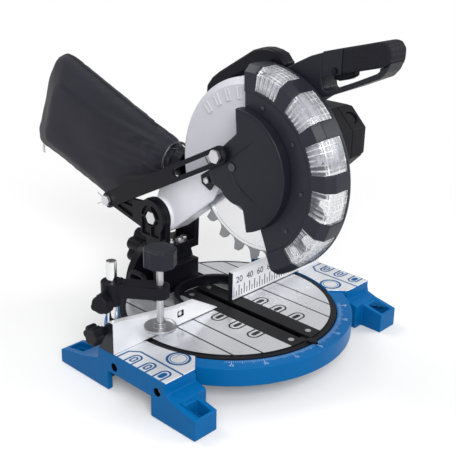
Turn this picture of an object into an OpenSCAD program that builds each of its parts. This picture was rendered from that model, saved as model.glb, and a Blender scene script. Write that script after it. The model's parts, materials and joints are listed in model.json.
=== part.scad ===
/* [Table] */
// height of the table top above the bench
table_top = 50; // [47:1:56]
// diameter of the silver turntable disc
disc_d = 258.8; // [250:0.2:268]
// thickness of the turntable disc
disc_t = 20; // [19.5:0.1:20.5]
// width of the black ring round the disc
rim_w = 7.8; // [6:0.2:10]
// width of the slot between the two kerf plates
kerf_slot = 10; // [9:0.2:12]
// width of one kerf plate
plate_w = 21.7; // [18:0.1:26]
// thickness of the kerf plates
plate_t = 2.5; // [1.5:0.1:2.8]

/* [Base] */
// width of the base across the wings
base_w = 374; // [368:1:384]
// width of the blue scale ring round the turntable
scale_w = 19; // [16:0.5:24]
// wall thickness of the base casting
wall = 7; // [5:0.5:9]
// distance of the bench bolt holes from each end of the base
bolt_inset = 22; // [20:0.5:24]
// distance between the bench bolt holes, front to back
bolt_y = 205; // [200:1:210]
// diameter of the bench bolt holes
bolt_d = 8.5; // [6.5:0.5:10.5]
// thickness of the rubber pads in the feet
foot_h = 3; // [2:0.5:5]

/* [Fence] */
// height of the tall fence faces
fence_h = 39; // [37:1:44]
// height of the lowered part of the left fence
fence_low = 23; // [18:1:26]
// thickness of the fence face
fence_t = 8; // [6:0.5:10]
// diameter of the hold-down post
post_d = 12; // [10:0.5:14]

/* [Blade] */
// diameter of the blade
blade_d = 216; // [206:1:218]
// bore of the blade
bore_d = 30; // [25.4:0.1:32]
// thickness of the blade body
blade_t = 1.8; // [1.4:0.1:2.2]
// width of the cut at the tooth tips
kerf = 2.6; // [2.3:0.1:3.2]
// number of teeth
teeth = 24; // [18:1:36]
// distance of the blade axis in front of the fence face
blade_y = 40; // [38:0.5:42]
// height of the blade axis above the table, head up
blade_z = 182; // [180:0.5:184]

/* [Head] */
// distance of the chop pivot behind the fence face
pivot_y = 108; // [107:0.5:109]
// height of the chop pivot above the table
pivot_z = 95; // [94:0.5:96]
// diameter of the chop pivot bolt
pivot_d = 13; // [11:0.5:15]
// diameter of the motor
motor_d = 84; // [80:1:88]
// length of the motor housing without its cap
motor_l = 84; // [78:1:92]
// diameter of the dust outlet
port_d = 36; // [32:1:38]

/* [Guards] */
// half width of the upper guard
guard_half = 13; // [12.6:0.1:13.4]
// wall thickness of the upper guard
guard_t = 2.5; // [2:0.1:3]
// radial room between blade and upper guard
guard_room = 2.5; // [2:0.1:3]
// radial room between upper and lower guard
sweep_room = 2.5; // [2:0.1:3]
// thickness of the lower guard band
band_t = 4.5; // [4:0.1:5]

/* [Link] */
// width of the slotted link bar
link_w = 22; // [20:0.5:23]
// thickness of the link bar
link_t = 4; // [3:0.1:4.4]
// diameter of the link pins
link_pin = 6; // [5:0.2:6.4]
// room across the slot for the pin to wander
link_play = 4; // [3.6:0.1:5]

/* [Hold-down] */
// diameter of the screw
screw_d = 8; // [6:0.5:10]
// diameter of the pressure pad
pad_d = 37; // [32:1:38]
// diameter of the hand knob
knob_d = 37.4; // [34:0.2:40]

/* [Fits] */
// radial room of a turning fit
run_fit = 0.05; // [0.03:0.01:0.08]
// room between parts that move past each other
clear = 0.5; // [0.4:0.05:0.7]

/* [Hidden] */
$fn = 96;
axis_y = bolt_y / 2 - 90;
deck = 0;
disc_r = disc_d / 2;
rim_r = disc_r + rim_w;
ring_in = rim_r + clear + 0.3;
ring_out = ring_in + scale_w;
ring_z = -2;
floor_top = -disc_t - 1.5;
floor_bot = floor_top - 3.5;
lug_z = -table_top;
hw = base_w / 2;
bolt_x = base_w - 2 * bolt_inset;
bolt_in = hw - 50;
hole_f = -bolt_y + 90;
hole_b = 90;
by = -blade_y;
bz = blade_z;
blade_r = blade_d / 2;
ug_in = blade_r + guard_room;
ug_out = ug_in + guard_t + 1;
guard_shift = [1, 5];
lg_in = ug_out + sweep_room + 0.7 * norm(guard_shift);
lg_out = lg_in + band_t;
wall_x = -guard_half - 4;
wall_o = wall_x - 3.5;
step_o = wall_o + 1.5;
cover_o = wall_o - 13.5;
collar_r = 26;
bar_in = cover_o - 2;
bar_out = bar_in - link_t;
motor_y = by - 7;
motor_z = bz + 23;
motor_r = motor_d / 2;
gear_r = motor_r + 4;
gear_x0 = guard_half;
gear_x1 = gear_x0 + 21;
cap_x = gear_x1 + motor_l;
cap_x1 = cap_x + 32;
ra = [187, 100.5];
rc = [by + 26, bz + 24];
post_x = -hw + 12.5;
post_y = 14.5;
scr = [post_x + 32.5, post_y - 43.5];
turn_lock = 17;
grip_x = 32;
lock_z = 26;
bracket_x = -bar_in - clear;
button_at = [-130, 313.4];
button_r = 3.2;
pane_in = 98;
panes = [[96.5, 114], [123.5, 141], [150.5, 168.5], [178, 195.5], [206, 230]];
arm_bot = 67.5;
arm_top = 83;

// moves from the fence and table frame to the bench frame
module at_table() {
    translate([0, axis_y, table_top])
        children();
}

// extrudes a side view (y, z) from x0 to x1
module side(x0, x1) {
    translate([x0, 0, 0])
        rotate([90, 0, 90])
            linear_extrude(x1 - x0)
                children();
}

// extrudes a front view (x, z) from y0 to y1
module front(y0, y1) {
    translate([0, y1, 0])
        rotate([90, 0, 0])
            linear_extrude(y1 - y0)
                children();
}

// extrudes a plan (x, y) from z0 to z1
module plan(z0, z1) {
    translate([0, 0, z0])
        linear_extrude(z1 - z0)
            children();
}

module box(x0, x1, y0, y1, z0, z1) {
    translate([x0, y0, z0])
        cube([x1 - x0, y1 - y0, z1 - z0]);
}

// a shaft along x through the side view point p
module rod_x(p, r, x0, x1) {
    translate([x0, p[0], p[1]])
        rotate([0, 90, 0])
            cylinder(r = r, h = x1 - x0);
}

// a shaft along y through the front view point p
module rod_y(p, r, y0, y1) {
    translate([p[0], y1, p[1]])
        rotate([90, 0, 0])
            cylinder(r = r, h = y1 - y0);
}

module rod_z(p, r, z0, z1) {
    translate([p[0], p[1], z0])
        cylinder(r = r, h = z1 - z0);
}

module dot(p, r) {
    translate(p)
        circle(r = r);
}

// a flat bar from p to q with round ends
module strip(p, q, r) {
    d = q - p;
    n = [-d[1], d[0]] / norm(d) * r * 0.985;
    dot(p, r);
    dot(q, r);
    polygon([p + n, p - n, q - n, q + n]);
}

// a wide wedge about the origin from angle a to angle b
module wedge(r, a, b) {
    s = 12;
    turns = [for (i = [0 : s]) a + (b - a) * i / s];
    polygon(concat([[0, 0]], [for (t = turns) r * 1.3 * [cos(t), sin(t)]]));
}

// sweeps a profile of radius and x about the x axis from angle a to angle b
module sweep_ring(a, b) {
    rotate([0, 90, 0])
        rotate([0, 0, a + 90])
            rotate_extrude(angle = b - a)
                children();
}

module ring_part(r0, r1, a, b) {
    intersection() {
        difference() {
            circle(r = r1);
            circle(r = r0);
        }
        wedge(r1, a, b);
    }
}

module hexagon(p, r) {
    translate(p)
        circle(r = r, $fn = 6);
}

// a hand knob's outline: a disc with round lobes
module lobes(r, n) {
    circle(r = r * 0.8);
    for (i = [0 : n - 1])
        rotate(i * 360 / n)
            translate([r * 0.68, 0])
                circle(r = r * 0.32, $fn = 32);
}

module both() {
    children();
    mirror([1, 0, 0])
        children();
}

module wing() {
    plan(-wall, deck)
        polygon([[100, 36], [hw - 10, 36], [hw, 28], [hw, -85], [hw - 45, -85], [hw - 70, -60],
            [100, -60]]);
    side(hw - wall, hw)
        polygon([[-85, -wall], [28, -wall], [30, -15], [56, -24], [94, -31], [101, -33], [101, lug_z],
            [11.5, lug_z], [11.5, -25], [-62, -25], [-62, lug_z], [-131, lug_z], [-131, -25],
            [-99, -19], [-87, -15]]);
    box(hw - 47, hw - wall, -85, -79, floor_bot, -wall);
    box(138, hw - wall, 30, 36, floor_bot, -wall);
    side(hw - 47, hw - wall)
        polygon([[-101, lug_z], [-101, -18.5], [-87, -15], [-79, -15], [-79, lug_z]]);
    side(hw - 33, hw - wall)
        polygon([[-131, lug_z], [-131, -25], [-101, -19.4], [-101, lug_z]]);
    side(hw - 33, hw - wall)
        polygon([[30, lug_z], [30, -15], [56, -24], [94, -31], [101, -33], [101, lug_z]]);
}

module base_casting() {
    color("royalblue")
        at_table()
            difference() {
                union() {
                    rod_z([0, 0], ring_out, floor_bot, ring_z);
                    both()
                        wing();
                }
                rod_z([0, 0], ring_in, floor_top, 5);
                box(-134, 134, 20, 200, floor_top, 5);
                rod_z([0, 0], 12 + run_fit, floor_bot - 1, floor_top + 1);
                both() {
                    rod_x([0, -16], 5, hw - 12, hw + 5);
                    rod_x([-72, -16], 5, hw - 12, hw + 5);
                    rod_z([bolt_x / 2, hole_f], bolt_d / 2, -60, 0);
                    rod_z([bolt_x / 2, hole_b], bolt_d / 2, -60, 0);
                    box(hw - 27, hw - 9, hole_f - 13, hole_f + 8, lug_z + 12, 0);
                    box(hw - 27, hw - 9, hole_b - 22, hole_b + 6, lug_z + 12, 0);
                    foot_pads();
                }
            }
}

// the two pads under one side, in their pockets
module foot_pads() {
    rod_z([hw - 18, -93], 10, lug_z, lug_z + foot_h);
    rod_z([hw - 18, 52], 10, lug_z, lug_z + foot_h);
}

module rubber_feet() {
    color("black")
        at_table()
            both()
                foot_pads();
}

// the socket at each end of the fence for the hold-down post
module socket() {
    difference() {
        union() {
            side(hw - 26, hw)
                polygon([[fence_t, 0], [fence_t, fence_h - 3], [11, fence_h - 3], [23, 22], [25.6, 0]]);
            box(hw - 59, hw - 26, fence_t, 25.6, 1, 8);
            box(hw - 45, hw - 26, fence_t, 25.6, 0, 1);
        }
        rod_z([-post_x, post_y], post_d / 2 + run_fit, -5, 60);
    }
}

module fence() {
    color("whitesmoke")
        at_table()
            difference() {
                union() {
                    front(0, fence_t)
                        polygon([[-hw, 0], [-hw, fence_h], [-hw + 9, fence_h], [-88, fence_low + 1.5],
                            [-57, fence_low], [-19, 1], [45 - hw, 1], [45 - hw, 0]]);
                    front(0, fence_t)
                        polygon([[8, 1], [8, fence_h], [hw, fence_h], [hw, 0], [hw - 45, 0], [hw - 45, 1]]);
                    both()
                        socket();
                }
                box(-88, -78, -1, 3, 11, 19);
                rod_x([post_y, lock_z], 3 + run_fit, -hw - 5, post_x);
            }
}

// the arc behind the gap that joins the two fence faces
module fence_bridge() {
    color("black")
        at_table()
            difference() {
                union() {
                    plan(1, 14)
                        translate([-6, 12])
                            ring_part(50, 56, 0, 180);
                    box(-62, -56, fence_t, 12, 1, 14);
                    box(44, 50, fence_t, 12, 1, 14);
                }
                box(-200, 200, -10, fence_t, -1, 60);
            }
}

module fence_bolts() {
    color("silver")
        at_table() {
            both()
                rod_z([bolt_in, 17], 5, 8, 13);
            rod_y([-83, 15], 3, 1, 3);
        }
}

module turntable_disc() {
    color("silver")
        at_table()
            difference() {
                rod_z([0, 0], disc_r, -disc_t, 0);
                box(-40, 40, 72, 200, -50, 5);
                box(-kerf_slot / 2 - plate_w, kerf_slot / 2 + plate_w, -200, 62, -plate_t, 5);
                box(-8, 18, -118, 58, -disc_t + 2, 0);
            }
}

module turntable_rim() {
    color("black")
        at_table()
            difference() {
                rod_z([0, 0], rim_r, -disc_t, -1.5);
                rod_z([0, 0], disc_r, -disc_t - 1, 5);
                box(-40, 40, 72, 200, -50, 5);
            }
}

module kerf_plate(s) {
    plan(-plate_t, 0)
        intersection() {
            circle(r = disc_r);
            translate([s > 0 ? kerf_slot / 2 : -kerf_slot / 2 - plate_w, -200])
                square([plate_w, 262]);
        }
}

module kerf_plate_left() {
    color("dimgray")
        at_table()
            kerf_plate(-1);
}

module kerf_plate_right() {
    color("dimgray")
        at_table()
            kerf_plate(1);
}

module kerf_screws() {
    color("silver")
        at_table()
            both() {
                rod_z([kerf_slot / 2 + plate_w / 2, -117], 3.6, 0, 0.6);
                rod_z([kerf_slot / 2 + plate_w / 2, 50], 3.6, 0, 0.6);
            }
}

module mitre_pointer() {
    color("black")
        at_table()
            plan(-1.5, 1)
                translate([0, -disc_r])
                    polygon([[-5, -1], [5, -1], [5, -rim_w], [0, -rim_w - 8], [-5, -rim_w]]);
}

module mitre_pivot() {
    color("silver")
        at_table() {
            rod_z([0, 0], 12, floor_bot - 0.6, -disc_t);
            plan(floor_bot - 7, floor_bot - 0.6)
                hexagon([0, 0], 17);
        }
}

module mitre_lock() {
    color("black")
        at_table()
            translate([-64, 100, 0]) {
                rod_z([0, 0], 7, clear, 12);
                difference() {
                    side(-3, 3)
                        strip([-5.5, 21], [5.5, 21], 10.5);
                    side(-5, 5)
                        strip([-5.5, 21], [5.5, 21], 5.5);
                }
            }
}

module bevel_bracket() {
    color("black")
        at_table()
            difference() {
                union() {
                    box(-39.5, 39.5, 72, 133, -disc_t, -18);
                    front(72, 84)
                        polygon([[-39.5, -disc_t], [39.5, -disc_t], [39.5, -2], [18, -2], [18, 36],
                            [-52, 36], [-52, 0], [-39.5, 0]]);
                    front(122, 133) {
                        intersection() {
                            circle(r = 58);
                            translate([-60, 0])
                                square([120, 60]);
                        }
                        translate([-39.5, -disc_t])
                            square([79, disc_t + 1]);
                    }
                    box(36, 39.5, 72, 133, -disc_t, -2);
                    box(-39.5, -36, 72, 133, -disc_t, -2);
                }
                box(-100, 100, 60, 200, -100, -disc_t);
                rod_y([0, 0], 7, 60, 150);
                front(110, 140)
                    rotate(78)
                        ring_part(25, 35, 0, 66);
                rod_y([0, 0], 17 + clear, 84, 122);
            }
}

module bevel_shaft() {
    color("silver")
        at_table() {
            rod_y([0, 0], 7, 72, 133);
            front(133, 138)
                hexagon([0, 0], 11);
        }
}

module cheek(x0, x1) {
    side(x0, x1) {
        dot([pivot_y, pivot_z], 26);
        polygon([[84.5, 46], [121.5, 46], [121.5, 61], [131, 76], [pivot_y + 25, pivot_z],
            [pivot_y - 25, pivot_z]]);
    }
}

module bevel_arm() {
    color("black")
        at_table()
            difference() {
                union() {
                    rod_y([0, 0], 17, 84.5, 121.5);
                    box(-17, 17, 84.5, 121.5, 0, 58);
                    box(-30, 30, 84.5, 121.5, 46, 58);
                    cheek(-30, -22);
                    cheek(22, 30);
                }
                rod_y([0, 0], 7 + run_fit, 60, 150);
                rod_x([pivot_y, pivot_z], pivot_d / 2, -60, 60);
                rod_x([pivot_y + 16, pivot_z - 13], 3 + run_fit, 20, 40);
            }
}

module lock_stud() {
    color("silver")
        at_table()
            rod_y([0, 30], 4, 121.5, 166);
}

module bevel_knob() {
    color("black")
        at_table()
            translate([0, 0, 30])
                difference() {
                    union() {
                        front(141, 168)
                            lobes(28, 7);
                        rod_y([0, 0], 12, 133.5, 141);
                    }
                    rod_y([0, 0], 4 + run_fit, 130, 166.5);
                }
}

module link_bracket() {
    color("black")
        at_table()
            difference() {
                union() {
                    rod_x([pivot_y, pivot_z], 25, -bracket_x, -30);
                    rod_x(ra, 10, -bracket_x, -30);
                    side(-bracket_x, -30) {
                        polygon([[pivot_y, pivot_z - 21], ra + [0, -8], ra + [0, 8],
                            [pivot_y, pivot_z + 21]]);
                        polygon([[88, pivot_z], [88, 70], [91, 67], [123, 67], [126, 70], [126, pivot_z]]);
                    }
                }
                rod_x([pivot_y, pivot_z], pivot_d / 2 + 3.5, -60, -20);
                side(-bracket_x - 1, -bracket_x + 3) {
                    polygon([[142, 110], [172, 107], [172, 103], [142, 102]]);
                    polygon([[142, 96], [172, 99], [172, 95], [142, 87]]);
                    difference() {
                        union() {
                            dot([pivot_y - 1, pivot_z + 1], 16.5);
                            polygon([[91, pivot_z], [91, 71], [123, 71], [123, pivot_z]]);
                        }
                        dot([pivot_y, pivot_z], 11.5);
                        polygon([[105.5, 60], [108.5, 60], [108.5, 120], [105.5, 120]]);
                        polygon([[80, 94], [130, 94], [130, 97], [80, 97]]);
                    }
                }
            }
}

module pivot_bolt() {
    color("silver")
        at_table() {
            rod_x([pivot_y, pivot_z], pivot_d / 2, -30, 30);
            side(-34.5, -30)
                hexagon([pivot_y, pivot_z], pivot_d / 2 + 2.5);
            side(30, 38)
                hexagon([pivot_y, pivot_z], pivot_d / 2 + 4);
        }
}

module link_rear_pin() {
    color("silver")
        at_table() {
            rod_x(ra, 4, bar_out - clear, -bracket_x);
            side(bar_out - clear - 5, bar_out - clear)
                hexagon(ra, 8);
        }
}

module depth_stop() {
    color("silver")
        at_table() {
            rod_z([0, 90], 3, 58, 64);
            plan(58, 62)
                hexagon([0, 90], 6);
        }
}

module lock_pin() {
    color("silver")
        at_table() {
            rod_x([pivot_y + 16, pivot_z - 13], 3, 26.5, 38);
            rod_x([pivot_y + 16, pivot_z - 13], 7, 38, 48);
        }
}

module arm_casting() {
    color("gainsboro")
        at_table()
            difference() {
                union() {
                    rod_x([pivot_y, pivot_z], 24, -21.5, 14);
                    rod_x([pivot_y, pivot_z], 15, 14, 21.5);
                    side(-guard_half - 3.5, guard_half + 3.5)
                        polygon([[pivot_y + 9, pivot_z + 17], [pivot_y + 3, pivot_z + 36], [13, 181.5],
                            [2, 186], [-2, 168], [14, 139], [pivot_y - 18, pivot_z - 18]]);
                }
                rod_x([by, bz], ug_out, -guard_half, guard_half);
                rod_x([by, bz], gear_r + 2, -40, 40);
                port_axis()
                    rod_y([0, 0], port_d / 2 + clear, 100, 128);
                rod_x([pivot_y, pivot_z], pivot_d / 2 + run_fit, -60, 60);
                side(14, 60)
                    dot([pivot_y + 16, pivot_z - 13], 9);
            }
}

module upper_guard() {
    color("whitesmoke")
        at_table()
            difference() {
                translate([0, by, bz]) {
                    side(-guard_half, guard_half)
                        ring_part(ug_in, ug_out, -35, 160);
                    sweep_ring(-34, 159)
                        polygon([[ug_out - 13, 1 - guard_half], [ug_out - 1.5, 1 - guard_half],
                            [ug_out - 1.5, 12 - guard_half]]);
                    side(-guard_half, -guard_half + guard_t) {
                        ring_part(0.01, ug_in + 0.5, -35, 160);
                        circle(r = 45);
                    }
                    side(guard_half - guard_t, guard_half) {
                        ring_part(0.01, ug_in + 0.5, -35, 160);
                        circle(r = 45);
                    }
                    side(-guard_half - 14, -guard_half)
                        circle(r = collar_r);
                    for (a = [46, 57, 68, 79])
                        side(-guard_half - 1.2, -guard_half)
                            rotate(a)
                                difference() {
                                    translate([89, -4])
                                        square([14, 8]);
                                    translate([91.5, -1.6])
                                        square([14, 3.2]);
                                }
                }
                rod_x([by, bz], 22, -60, 0);
                rod_x([by, bz], 18, 0, 60);
                translate([0, by, bz])
                    sweep_ring(-50, 175)
                        polygon([[ug_out - 12, -3.5 - guard_half], [ug_out + 4, -3.5 - guard_half],
                            [ug_out + 4, 10.5 - guard_half]]);
                port_axis()
                    box(-9, 9, 80, 135, -10, 10);
            }
}

module gear_housing() {
    color("dimgray")
        at_table()
            difference() {
                side(gear_x0, gear_x1) {
                    dot([by, bz], gear_r);
                    dot([motor_y, motor_z], gear_r);
                    polygon([[by + gear_r * 0.9, bz], [motor_y + gear_r * 0.9, motor_z],
                        [motor_y - gear_r * 0.9, motor_z], [by - gear_r * 0.9, bz]]);
                }
                rod_x([by, bz], 10 + run_fit, 0, gear_x0 + 17);
                rod_x([by, bz], 18, 0, gear_x0 + 2);
            }
}

module motor_shape() {
    rotate(22.5)
        circle(r = motor_r / cos(22.5), $fn = 8);
}

module motor_housing() {
    color("black")
        at_table()
            translate([0, motor_y, motor_z])
                difference() {
                    side(gear_x1, cap_x)
                        motor_shape();
                    for (i = [0 : 6])
                        for (a = [-90, 0])
                            side(gear_x1 + 14 + i * 8, gear_x1 + 18 + i * 8)
                                rotate(a)
                                    translate([motor_r - 4, -14])
                                        square([9, 28]);
                }
}

module motor_cap() {
    color("black")
        at_table()
            translate([0, motor_y, motor_z])
                difference() {
                    union() {
                        side(cap_x, cap_x1 - 9)
                            motor_shape();
                        side(cap_x1 - 9, cap_x1)
                            scale(0.93)
                                motor_shape();
                    }
                    for (a = [45, 225])
                        rotate([a, 0, 0])
                            rod_z([cap_x + 13, 0], 8, motor_r - 7, motor_r + 5);
                    for (i = [-2 : 2])
                        side(cap_x1 - 4, cap_x1 + 1)
                            translate([-14, i * 6 - 1.5])
                                square([28, 3]);
                }
}

module motor_screws() {
    color("silver")
        at_table()
            translate([0, motor_y, motor_z])
                for (a = [15, 105, 195, 285])
                    rod_x(33 * [cos(a), sin(a)], 3, cap_x1, cap_x1 + 1.5);
}

module brush_caps() {
    color("dimgray")
        at_table()
            translate([0, motor_y, motor_z])
                for (a = [45, 225])
                    rotate([a, 0, 0])
                        rod_z([cap_x + 13, 0], 7.5, motor_r - 7, motor_r - 2);
}

// side view of the closed handle without collar and grip
module loop_shape() {
    difference() {
        polygon([[-44, 236], [-44, 312], [-56, 304.5], [-96, 325], [-113, 331], [-137, 337.5],
            [-183, 350.4], [-191, 349.5], [-197, 343], [-197, 331], [-192.5, 321], [-186, 313.5],
            [-153, 298.3], [-112, 281], [-96, 270], [-88, 256], [-84, 236]]);
        polygon([[-112, 304.2], [-115, 291.5], [-120, 290], [-156, 306], [-182, 318.5], [-185, 322],
            [-183, 324.2]]);
        polygon([[-113, 335], [-113, 303.9], [-184, 323.9], [-192, 326.5], [-199, 332.8], [-199, 356]]);
    }
}

module handle_half(x0, x1) {
    difference() {
        side(x0, x1)
            loop_shape();
        translate([0, motor_y, motor_z])
            side(gear_x1, 80)
                motor_shape();
        rod_x([motor_y, motor_z], gear_r, 0, gear_x1);
    }
}

module handle_left() {
    color("black")
        at_table()
            handle_half(grip_x - 14, grip_x);
}

module handle_right() {
    color("black")
        at_table()
            handle_half(grip_x, grip_x + 14);
}

// the trigger pocket in the underside of the collar and grip
module pocket(g) {
    side(grip_x - 6 - g, grip_x + 6 + g)
        polygon([[-122 + g, 317 + g], [-122 + g, 295], [-148 - g, 300], [-148 - g, 324 + g]]);
}

module handle_collar() {
    color("black")
        at_table()
            difference() {
                side(grip_x - 15, grip_x + 15)
                    polygon([[-113, 331.8], [-113, 303.9], [-138, 310.94], [-138, 338.5]]);
                pocket(clear);
                rod_x(button_at, button_r + run_fit, 0, grip_x - 7);
            }
}

module handle_grip() {
    color("dimgray")
        at_table()
            difference() {
                side(grip_x - 15, grip_x + 15)
                    polygon([[-138, 338.5], [-138, 310.94], [-184, 323.9], [-192, 326.5], [-197, 331],
                        [-197, 343.5], [-191, 350.5], [-184, 351]]);
                pocket(clear);
            }
}

module trigger() {
    color("dimgray")
        at_table()
            side(grip_x - 6, grip_x + 6)
                polygon([[-122, 312], [-122, 302.5], [-130, 301.5], [-142, 305], [-148, 309], [-148, 319]]);
}

module lock_button() {
    color("black")
        at_table()
            rod_x(button_at, button_r, grip_x - 17.5, grip_x - 10.5);
}

module carry_handle() {
    color("black")
        at_table()
            difference() {
                union() {
                    side(guard_half + 4.5, guard_half + 24)
                        polygon([[40, 238], [58, 240], [63.4, 252], [62, 268], [53, 279], [41.7, 287.4],
                            [-11, 319.7], [-24, 324], [-34, 325], [-45, 323.5], [-53, 321], [-62, 311],
                            [-64, 306], [-44, 301], [-20, 301], [1.3, 291], [23.3, 278.8],
                            [38.7, 266.6], [44, 258]]);
                    side(guard_half, guard_half + 24)
                        polygon([[24, 236], [40, 238], [48, 239], [44, 226], [30, 222]]);
                }
                side(0, 80)
                    loop_shape();
            }
}

// the line of the dust outlet at the back of the upper guard
module port_axis() {
    translate([0, by, bz])
        rotate([8, 0, 0])
            translate([0, 0, -31])
                children();
}

module dust_port() {
    color("black")
        at_table()
            difference() {
                port_axis()
                    difference() {
                        rod_y([0, 0], port_d / 2, 90, 146);
                        rod_y([0, 0], port_d / 2 - 3, 80, 150);
                    }
                rod_x([by, bz], ug_out, -60, 60);
            }
}

module bag_clip() {
    color("silver")
        at_table()
            port_axis()
                translate([0, 134, 0])
                    rotate([90, 0, 0])
                        rotate_extrude()
                            translate([port_d / 2 + 3.62, 0])
                                circle(r = 1.6, $fn = 24);
}

module dust_bag() {
    color("dimgray")
        at_table()
            difference() {
                union() {
                    bag_body();
                    port_axis()
                        rod_y([0, 0], port_d / 2 + 2, 126, 150);
                }
                port_axis()
                    rod_y([0, 0], port_d / 2, 120, 148);
                port_axis()
                    rod_y([0, 0], port_d / 2 - 3, 140, 160);
            }
}

// the filled bag, a plain solid
module bag_body() {
    hull() {
        side(-4, 4)
            polygon([[112, 150], [184, 114], [229, 90], [377, 133], [378, 158], [344, 237], [326, 262],
                [306, 269], [208, 232], [112, 194]]);
        side(-26, 26)
            polygon([[180, 150], [232, 118], [335, 150], [338, 165], [312, 228], [296, 238], [215, 205]]);
        port_axis()
            rod_y([0, 0], port_d / 2 + 5, 143, 146, $fn = 32);
    }
}

module cable_gland() {
    color("black")
        at_table()
            difference() {
                rod_y([gear_x1 + 76, motor_z - 8], 7, motor_y + motor_r - 12, motor_y + motor_r + 10);
                translate([0, motor_y, motor_z])
                    side(gear_x1 + 40, cap_x)
                        motor_shape();
            }
}

module arm_bracket() {
    color("black")
        at_table() {
            side(-guard_half - 7, -guard_half - 3.5)
                polygon([[18, 178], [8, 166], [16, 152], [30, 158], [32, 168]]);
            rod_x([19, 165], 4, -guard_half - 9, -guard_half - 7);
        }
}

// the outline of one tooth: radius and angle of each corner
function tooth(i) = let (a = 360 / teeth * i, r = blade_r)
    [for (q = [[r - 15, 6.0], [r - 11, 3.2], [r, 1.6], [r - 1.5, -2.2], [r - 6, -4.4], [r - 14, -5.6]])
        q[0] * [cos(a + q[1]), sin(a + q[1])]];

module blade() {
    color("silver")
        at_table()
            translate([0, by, bz])
                difference() {
                    union() {
                        side(-blade_t / 2, blade_t / 2)
                            circle(r = blade_r - 14);
                        side(-kerf / 2, kerf / 2)
                            difference() {
                                polygon([for (i = [teeth - 1 : -1 : 0]) each tooth(i)]);
                                circle(r = blade_r - 19);
                            }
                    }
                    rod_x([0, 0], bore_d / 2, -5, 5);
                }
}

module blade_flanges() {
    color("dimgray")
        at_table()
            translate([0, by, bz]) {
                rod_x([0, 0], 20, blade_t / 2, 8);
                rod_x([0, 0], 20, -6, -blade_t / 2);
            }
}

module arbor_bolt() {
    color("silver")
        at_table()
            translate([0, by, bz]) {
                rod_x([0, 0], bore_d / 2, -blade_t / 2, blade_t / 2);
                side(-13, -6)
                    hexagon([0, 0], 9);
            }
}

module spindle() {
    color("silver")
        at_table()
            rod_x([by, bz], 10, 8, gear_x0 + 16);
}

// the profile of the lower guard: side wall, bevelled corner and band
module guard_profile(skin) {
    polygon([[52, step_o], [95, step_o], [95, wall_o + skin], [lg_out - 8 - skin, wall_o + skin],
        [lg_out - skin, wall_o + 9 + skin], [lg_out - skin, guard_half + 2], [lg_in, guard_half + 2],
        [lg_in, wall_o + 10.6], [lg_out - 9.6, wall_x], [52, wall_x]]);
}

// the part of the profile that a window takes up
module pane_zone() {
    polygon([[pane_in, wall_o - 1], [lg_out + 2, wall_o - 1], [lg_out + 2, guard_half - 2],
        [pane_in, guard_half - 2]]);
}

module at_guard() {
    translate([0, by + guard_shift[0], bz + guard_shift[1]])
        children();
}

module guard_frame() {
    color("dimgray")
        at_table()
            at_guard()
                difference() {
                    sweep_ring(88, 247)
                        guard_profile(0);
                    for (w = panes)
                        sweep_ring(w[0], w[1])
                            pane_zone();
                }
}

module guard_windows() {
    color("lightcyan")
        at_table()
            at_guard()
                for (w = panes)
                    sweep_ring(w[0], w[1])
                        intersection() {
                            guard_profile(0.8);
                            pane_zone();
                        }
}

module cover_shape() {
    intersection() {
        dot([4, 10], 73);
        polygon([[7, 95], [-100, 95], [-100, -90], [-22, -90], [-14, -52], [-10, -34], [10, -22],
            [40, -14], [46, 4], [42, 24], [26, 33], [3, 54]]);
    }
    circle(r = 31);
}

module guard_cover() {
    color("dimgray")
        at_table()
            translate([0, by, bz])
                difference() {
                    side(cover_o, step_o)
                        cover_shape();
                    rod_x([0, 0], collar_r + run_fit, -guard_half - 14 - clear, 0);
                }
}

module guard_screws() {
    color("silver")
        at_table()
            translate([0, by, bz]) {
                for (a = [107, 145, 183, 219])
                    rod_x(guard_shift + 84 * [cos(a), sin(a)], 2.6, wall_o, step_o);
                rod_x([7, 14], 5, cover_o - 1.5, cover_o);
            }
}

module link_front_pin() {
    color("silver")
        at_table() {
            rod_x(rc, link_pin / 2, bar_out - clear, cover_o);
            side(bar_out - clear - 5, bar_out - clear)
                hexagon(rc, 8.5);
        }
}

module link_bar() {
    d = (rc - ra) / norm(rc - ra);
    color("black")
        at_table()
            difference() {
                side(bar_out, bar_in)
                    strip(ra, rc + 4 * d, link_w / 2);
                side(bar_out - 1, bar_in + 1)
                    strip(rc - 78 * d, rc, (link_pin + link_play) / 2);
                rod_x(ra, 4 + run_fit, -60, 0);
            }
}

module clamp_post() {
    color("silver")
        at_table()
            rod_z([post_x, post_y], post_d / 2, clear, 108);
}

// the line of the arm's lock knob, out from the post
module lock_line() {
    translate([post_x, post_y, arm_bot - 3.7])
        rotate([0, 0, turn_lock])
            children();
}

module clamp_arm() {
    color("black")
        at_table()
            difference() {
                union() {
                    rod_z([post_x, post_y], 12.5, arm_bot - 11.5, arm_top + 1);
                    plan(arm_bot, arm_top)
                        strip([post_x, post_y], scr, 10.5);
                }
                rod_z([post_x, post_y], post_d / 2 + run_fit, 0, 120);
                rod_z(scr, screw_d / 2 + 0.3, 0, 120);
                lock_line()
                    rod_x([0, 0], 3 + run_fit, -60, 0);
            }
}

module arm_lock_knob() {
    color("black")
        at_table()
            lock_line() {
                rod_x([0, 0], 3, -14, -post_d / 2 - clear);
                side(-26, -14)
                    rotate(90)
                        lobes(13, 3);
            }
}

module clamp_pad() {
    color("silver")
        at_table()
            translate(scr)
                rotate_extrude()
                    polygon([[0, 29], [pad_d / 2 - 1, 29], [pad_d / 2, 30], [pad_d / 2, 33],
                        [pad_d / 2 - 1.5, 33], [pad_d / 2 - 3.5, 31.5], [screw_d / 2 + 3, 31.5],
                        [screw_d / 2 + 3, 37],
                        [screw_d / 2 + run_fit, 37], [screw_d / 2 + run_fit, 31], [0, 31]]);
}

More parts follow.
